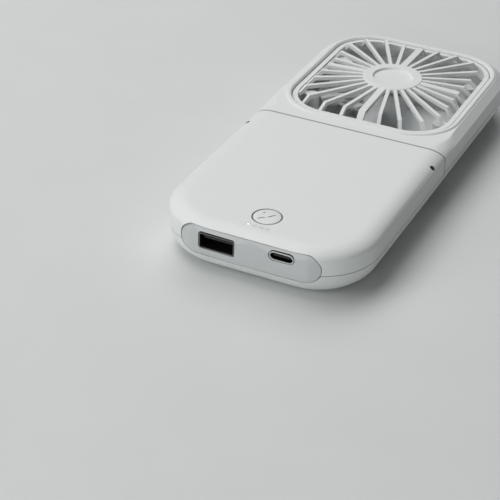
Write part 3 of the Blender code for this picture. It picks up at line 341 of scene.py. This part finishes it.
FINGER_WIDTH, FINGER_LENGTH, FINGER_BULGE, FINGER_SHEET = 2.2 * MM, 5.0 * MM, 0.26 * MM, 0.03 * MM
FINGER_PLACES, FINGER_SETBACK, FINGER_STEPS = (-3.3 * MM, 3.3 * MM), 0.9 * MM, 8
fingers, shape = new_piece("usb_a_fingers", shell_steel, "base")
for side in FINGER_PLACES:
    for wall, inward in ((shell_low.z + SHEET, 1), (shell_high.z - SHEET, -1)):
        rails = []
        for step in range(FINGER_STEPS + 1):
            share = step / FINGER_STEPS
            y = shell_low.y + FINGER_SETBACK + FINGER_LENGTH * share
            z = wall + inward * (FINGER_SHEET + FINGER_BULGE * math.sin(math.pi * share) ** 2)
            edges = (middle_x + side - FINGER_WIDTH / 2, middle_x + side + FINGER_WIDTH / 2)
            rails.append([shape.verts.new((x, y, z)) for x in edges])
        for near, far in zip(rails, rails[1:]):
            shape.faces.new((near[0], near[1], far[1], far[0]))
close_piece(fingers, shape)


# The small socket is a USB-C receptacle: a seamless drawn shell, its inside darkened by painted
# shade behind the lip, round a thin resin blade with a row of twelve gold contacts on each face.
drawn_nickel = metal("drawn_nickel", (0.80, 0.81, 0.81), 0.4, 0.25 * MM, (1, 6, 1))
UNSHADED_LIP, SHADED_FROM, NICKEL_SHADE = 0.15 * MM, 0.5 * MM, (0.07, 0.07, 0.07)
shell_low, shell_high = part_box("usb_c_shell")
middle = (shell_low + shell_high) / 2
tree = drawn_nickel.node_tree
inside = fade(tree, position(tree)["Y"], shell_low.y + UNSHADED_LIP, shell_low.y + SHADED_FROM)
paint_shade(drawn_nickel, inside, NICKEL_SHADE)
dress(drawn_nickel, "usb_c_shell")
dress(socket_black, "usb_c_tongue")
C_CONTACTS, C_PITCH, C_CONTACT_WIDTH, C_CONTACT_LENGTH = 12, 0.5 * MM, 0.26 * MM, 3.6 * MM
C_BLADE_HALF, C_CONTACT_THICKNESS, C_CONTACT_SETBACK = 0.35 * MM, 0.05 * MM, 0.5 * MM
contact_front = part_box("usb_c_tongue")[0].y + C_CONTACT_SETBACK
contacts, shape = new_piece("usb_c_contacts", contact_gold, "base")
for number in range(C_CONTACTS):
    x = middle.x + (number - (C_CONTACTS - 1) / 2) * C_PITCH
    for level in (middle.z - C_BLADE_HALF - C_CONTACT_THICKNESS, middle.z + C_BLADE_HALF):
        low = Vector((x - C_CONTACT_WIDTH / 2, contact_front, level))
        add_block(shape, low, low + Vector((C_CONTACT_WIDTH, C_CONTACT_LENGTH, C_CONTACT_THICKNESS)))
close_piece(contacts, shape)


# The circuit board is fibreglass under green solder mask. On its upper face sit a charge chip,
# a motor driver, a wound inductor and a few chip capacitors, all soldered flat.
solder_mask = moulded("solder_mask", (0.02, 0.15, 0.06), 0.35, 0.4 * MM, 0.005 * MM)
dress(solder_mask, "circuit_board")
chip_resin = moulded("chip_resin", (0.025, 0.025, 0.027), 0.55, 0.15 * MM, 0.004 * MM)
ferrite = moulded("ferrite", (0.10, 0.10, 0.105), 0.6, 0.3 * MM, 0.01 * MM)
ceramic = moulded("ceramic", (0.45, 0.34, 0.22), 0.4, 0.2 * MM, 0.004 * MM)
board_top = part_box("circuit_board")[1].z
CAPACITOR_PITCH, SOLDERED_EDGE = 2.2, 0.1 * MM
right_row = [(6.2 * MM, (-75 + CAPACITOR_PITCH * number) * MM) for number in range(5)]
left_row = [(-5.0 * MM, (-68.5 + CAPACITOR_PITCH * number) * MM) for number in range(3)]
BOARD_PARTS = (
    ("charge_chip", chip_resin, 4.0 * MM, 4.0 * MM, 0.9 * MM, [(-11.0 * MM, -66.5 * MM)]),
    ("motor_driver", chip_resin, 5.0 * MM, 4.0 * MM, 1.0 * MM, [(11.0 * MM, -66.0 * MM)]),
    ("inductor", ferrite, 4.4 * MM, 4.4 * MM, 1.8 * MM, [(11.5 * MM, -73.0 * MM)]),
    ("capacitors", ceramic, 1.6 * MM, 0.8 * MM, 0.8 * MM, right_row + left_row),
)
for name, finish, width, length, height, places in BOARD_PARTS:
    piece, shape = new_piece(name, finish, "base")
    for x, y in places:
        low = Vector((x - width / 2, y - length / 2, board_top))
        add_block(shape, low, low + Vector((width, length, height)))
    close_piece(piece, shape, SOLDERED_EDGE)


# The cell is a lithium pouch in dull aluminium laminate, and amber tape covers the edge where
# its two tabs come out.
foil = metal("pouch_foil", (0.66, 0.67, 0.69), 0.42, 1.2 * MM)
dress(foil, "battery_cell")
amber_tape = moulded("amber_tape", (0.55, 0.27, 0.03), 0.25, 0.5 * MM, 0.004 * MM)
cell_low, cell_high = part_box("battery_cell")
TAPE_WIDTH, TAPE_THICKNESS, TAPE_INSET = 4.5 * MM, 0.06 * MM, 1.5 * MM
tape, shape = new_piece("cell_tape", amber_tape, "base")
low = Vector((cell_low.x + TAPE_INSET, cell_low.y + TAPE_INSET, cell_high.z))
add_block(shape, low, (cell_high.x - TAPE_INSET, low.y + TAPE_WIDTH, cell_high.z + TAPE_THICKNESS))
close_piece(tape, shape)


# The power button is a white cap that stands just proud of the case and presses a tact switch on
# the board. Painted shade greys its rim. A fan sign is printed on it: two long thin strokes and a short
# one.
def distance_in_plan(tree, middle):
    """How far the piece's surface lies from an upright axis."""
    place = position(tree)
    beside = compute(tree, "SUBTRACT", place["X"], middle.x)
    beyond = compute(tree, "SUBTRACT", place["Y"], middle.y)
    return hypotenuse(tree, beside, beyond)


cap_low, cap_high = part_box("button_cap")
cap_middle = (cap_low + cap_high) / 2
# Painted shade darkens a thin ring at the cap's rim.
CAP_RADIUS, RIM_SHADE_INNER, RIM_SHADE_OUTER, RIM_SHADE = 5.1 * MM, 0.45 * MM, 0.2 * MM, (0.2, 0.205, 0.205)
cap_white = moulded("cap_white", CASE_COLOUR, CASE_ROUGHNESS, CASE_GRAIN, CASE_RELIEF)
tree = cap_white.node_tree
off_axis = distance_in_plan(tree, cap_middle)
at_rim = fade(tree, off_axis, CAP_RADIUS - RIM_SHADE_INNER, CAP_RADIUS - RIM_SHADE_OUTER)
paint_shade(cap_white, at_rim, RIM_SHADE)
dress(cap_white, "button_cap")
dress(socket_black, "switch_plunger")
dress(plated_zinc, "push_switch")
sign_grey = moulded("sign_grey", (0.10, 0.105, 0.11), 0.5, 0.1 * MM, 0.002 * MM)
STROKES = (
    ((-2.3 * MM, -2.8 * MM), (-0.2 * MM, -1.0 * MM)),
    ((0.4 * MM, -0.7 * MM), (2.5 * MM, 1.9 * MM)),
    ((-2.1 * MM, 1.2 * MM), (-1.6 * MM, 2.2 * MM)),
)
STROKE_STEPS, STROKE_WIDTH, STROKE_BOW, STROKE_TAPER = 10, 0.5 * MM, 0.06, 0.12
SIGN_LIFT = 0.015 * MM
sign, shape = new_piece("button_sign", sign_grey, "button")
for start, end in STROKES:
    start, end = Vector((*start, 0)), Vector((*end, 0))
    across = Vector((start.y - end.y, end.x - start.x, 0))
    rails = []
    for step in range(STROKE_STEPS + 1):
        share = step / STROKE_STEPS
        bulge = math.sin(math.pi * (STROKE_TAPER + (1 - 2 * STROKE_TAPER) * share))
        centre = start.lerp(end, share) + STROKE_BOW * bulge * across
        centre += Vector((cap_middle.x, cap_middle.y, cap_high.z + SIGN_LIFT))
        edge = STROKE_WIDTH / 2 * bulge * across.normalized()
        rails.append([shape.verts.new(centre - edge), shape.verts.new(centre + edge)])
    for near, far in zip(rails, rails[1:]):
        shape.faces.new((near[0], near[1], far[1], far[0]))
close_piece(sign, shape)


# Four charge lights shine through a clear acrylic bar whose studs fill the holes in the case.
# The cell is low in the photograph, so only the first one is lit, a bright spot in its stud.
ACRYLIC_IOR, FROST_SIZE, FROST_SHADE, FROST_ROUGHNESS = 1.49, 0.5 * MM, 0.97, (0.3, 0.42)
LIT_WHITE, SPOT_CORE = (0.95, 1.0, 1.0), 0.4


def lit_plastic(name, colour, strength, spot):
    """Frosted clear plastic with a glowing spot over the first light."""
    finish, tree, shader = new_finish(name)
    shader.inputs["IOR"].default_value = ACRYLIC_IOR
    frost = noise(tree, FROST_SIZE, 2)
    tint(tree, frost, shader.inputs["Base Color"], [FROST_SHADE * c for c in colour], colour)
    vary(tree, frost, shader.inputs["Roughness"], *FROST_ROUGHNESS)
    low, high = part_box("charge_lamp_1")
    at_lamp = fade(tree, distance_in_plan(tree, (low + high) / 2), spot, SPOT_CORE * spot)
    shader.inputs["Emission Color"].default_value = (0, 0, 0, 1)
    blend(tree, at_lamp, LIT_WHITE, shader.inputs["Emission Color"])
    shader.inputs["Emission Strength"].default_value = strength
    return finish


dress(lit_plastic("light_bar", (0.745, 0.762, 0.757), 0.9, 0.55 * MM), "light_guide")
lamp_names = [f"charge_lamp_{number}" for number in range(1, 5)]
dress(lit_plastic("lamp_lens", (0.80, 0.72, 0.36), 3.0, 0.9 * MM), *lamp_names)


# The head folds back on a ground steel pin through the knuckles of both rear shells. A spring
# washer on each side of the middle knuckle gives the friction that holds it at any angle.
pin_steel = metal("pin_steel", (0.62, 0.61, 0.60), 0.24, 0.3 * MM, (8, 1, 1))
dress(pin_steel, "hinge_pin", "friction_washer_left", "friction_washer_right")


# The head housings and the radial grille are moulded in the same white ABS as the base, and the
# grille drops into a seat inside the raised bead of the front frame.
dress(front_white, "head_front_shell")
dress(case_white, "head_rear_shell", "front_grille")


# The impeller is five swept blades on a cupped hub, moulded in one shot of a slightly translucent
# white resin. It is pressed on the shaft of a flat motor that stands on the rear shell.
blade_white = moulded("blade_white", (0.70, 0.715, 0.72), 0.38, 0.3 * MM, 0.004 * MM)
dress(blade_white, "impeller")
dress(metal("motor_steel", (0.60, 0.60, 0.59), 0.3, 0.3 * MM, (1, 1, 8)), "motor_can")
dress(pin_steel, "motor_shaft")
dress(metal("sintered_bronze", (0.62, 0.42, 0.20), 0.42, 0.15 * MM), "motor_bush")
dress(socket_black, "motor_end_cap")


# The fan lies on a plain pale table. Wide soft lamps stand above it, behind it and to its left, and
# weaker ones in front of it and to its right, so that its right side falls into shade.
TABLE_HALF, TABLE_BELOW, TABLE_PATCH, TABLE_GRAIN = 3.0, 0.05 * MM, 30 * MM, 0.6 * MM
table_mesh = bpy.data.meshes.new("table")
corners = [(-TABLE_HALF, -TABLE_HALF, 0), (TABLE_HALF, -TABLE_HALF, 0)]
corners += [(TABLE_HALF, TABLE_HALF, 0), (-TABLE_HALF, TABLE_HALF, 0)]
table_mesh.from_pydata(corners, [], [(0, 1, 2, 3)])
table = bpy.data.objects.new("table", table_mesh)
bpy.context.scene.collection.objects.link(table)
table.location.z = -TABLE_BELOW
table_top, tree, shader = new_finish("table_top")
patches = noise(tree, TABLE_PATCH, 3)
tint(tree, patches, shader.inputs["Base Color"], (0.682, 0.697, 0.690), (0.696, 0.711, 0.704))
shader.inputs["Roughness"].default_value = 0.7
raise_grain(tree, shader, noise(tree, TABLE_GRAIN, 3), 0.01 * MM)
table_mesh.materials.append(table_top)

room = bpy.data.worlds.new("room")
bpy.context.scene.world = room
room.use_nodes = True
room.node_tree.nodes["Background"].inputs["Color"].default_value = (0.93, 0.98, 1.0, 1)
room.node_tree.nodes["Background"].inputs["Strength"].default_value = 0.01


def soft_lamp(name, place, size, power, colour):
    """A square soft lamp that faces the fan."""
    lamp = bpy.data.objects.new(name, bpy.data.lights.new(name, "AREA"))
    bpy.context.scene.collection.objects.link(lamp)
    lamp.data.shape = "SQUARE"
    lamp.data.size = size
    lamp.data.energy = power
    lamp.data.color = colour
    lamp.location = place
    lamp.rotation_euler = (-Vector(place)).to_track_quat("-Z", "Y").to_euler()


NEUTRAL_LIGHT, COOL_LIGHT = (1.0, 1.0, 1.0), (0.96, 1.0, 1.0)
soft_lamp("lamp_above", (-0.67, -0.05, 1.47), 1.1, 11.4, NEUTRAL_LIGHT)
soft_lamp("lamp_behind", (-0.52, 0.93, 1.22), 1.1, 9.4, NEUTRAL_LIGHT)
soft_lamp("lamp_left", (-0.92, -1.15, 0.80), 0.9, 8.9, NEUTRAL_LIGHT)
soft_lamp("lamp_front", (0, -1.65, 0.41), 0.8, 5.0, COOL_LIGHT)
soft_lamp("lamp_right", (0.95, -0.95, 1.05), 0.8, 1.8, COOL_LIGHT)


# The photograph is taken with a long lens half a metre beyond the port end and to the fan's right,
# looking down at about a third of a right angle, with the camera rolled very slightly.
AIM = Vector((5.38 * MM, -96.12 * MM, 21.0 * MM))
TURN, DROP, ROLL = math.radians(24.94), math.radians(32.29), math.radians(1.65)
DISTANCE, SENSOR, LENS, NEAREST_SEEN = 503.95 * MM, 36, 111.84, 10 * MM
forward = Vector((-math.sin(TURN) * math.cos(DROP), math.cos(TURN) * math.cos(DROP), -math.sin(DROP)))
level = Vector((math.cos(TURN), math.sin(TURN), 0))
upright = level.cross(forward)
right = math.cos(ROLL) * level + math.sin(ROLL) * upright
upward = math.cos(ROLL) * upright - math.sin(ROLL) * level
camera = bpy.data.objects.new("camera", bpy.data.cameras.new("camera"))
bpy.context.scene.collection.objects.link(camera)
camera.data.sensor_width = SENSOR
camera.data.lens = LENS
camera.data.clip_start = NEAREST_SEEN
turned = Matrix((right, upward, -forward)).transposed().to_4x4()
camera.matrix_world = Matrix.Translation(AIM - DISTANCE * forward) @ turned
bpy.context.scene.camera = camera
bpy.context.scene.view_settings.view_transform = "Standard"
